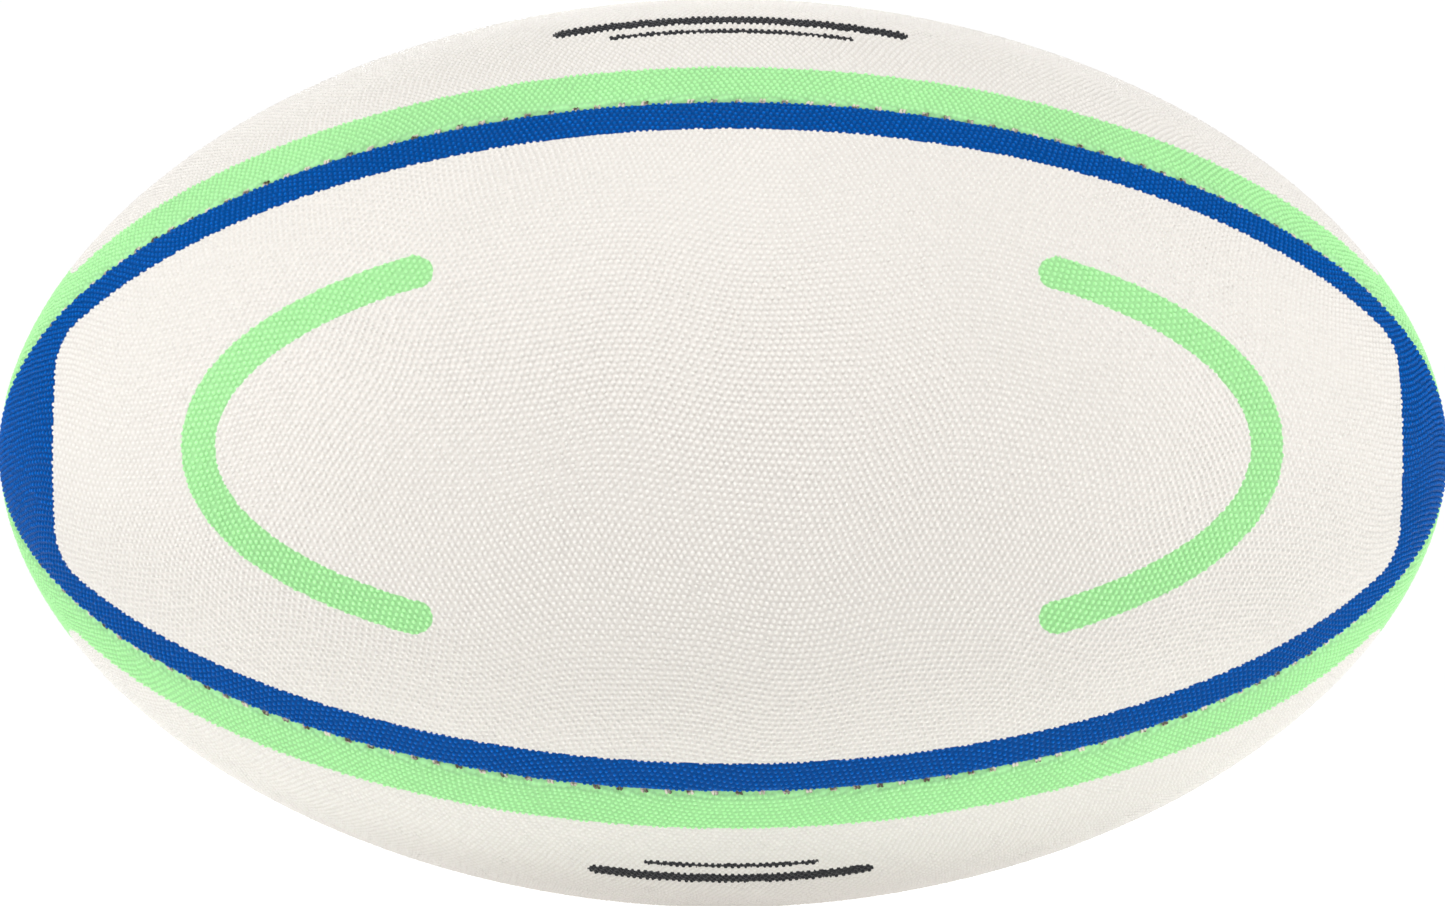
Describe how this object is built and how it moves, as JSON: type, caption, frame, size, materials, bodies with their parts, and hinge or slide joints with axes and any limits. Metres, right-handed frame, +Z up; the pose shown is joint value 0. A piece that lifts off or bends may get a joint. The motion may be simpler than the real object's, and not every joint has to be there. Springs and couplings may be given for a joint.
{
  "type": "rugby ball",
  "caption": "Oval ball with a stitched cover of pimpled rubber panels on woven backing, over an air bladder with a needle valve.",
  "frame": {"origin": "centre of the ball", "axes": "+X along the ball's length, +Z up, -Y out of the middle of the front panel; the valve is at the middle of the back panel, on +Y"},
  "size_m": [0.2958, 0.185, 0.185],
  "materials": {
    "skin": "satin",
    "ply": "matte",
    "thread": "satin",
    "bladder": "satin",
    "patch": "matte",
    "valve": "matte"
  },
  "bodies": {
    "root": {"skin_front": "skin", "skin_top": "skin", "skin_back": "skin", "skin_bottom": "skin", "ply_1_front": "ply", "ply_1_top": "ply", "ply_1_back": "ply", "ply_1_bottom": "ply", "ply_2_front": "ply", "ply_2_top": "ply", "ply_2_back": "ply", "ply_2_bottom": "ply", "ply_3_front": "ply", "ply_3_top": "ply", "ply_3_back": "ply", "ply_3_bottom": "ply", "seam_thread_top_front": "thread", "seam_thread_top_back": "thread", "seam_thread_bottom_back": "thread", "seam_thread_bottom_front": "thread", "bladder": "bladder", "valve_patch": "patch", "balance_patch": "patch", "valve_stem": "valve", "valve_core": "valve"}
  },
  "joints": []
}
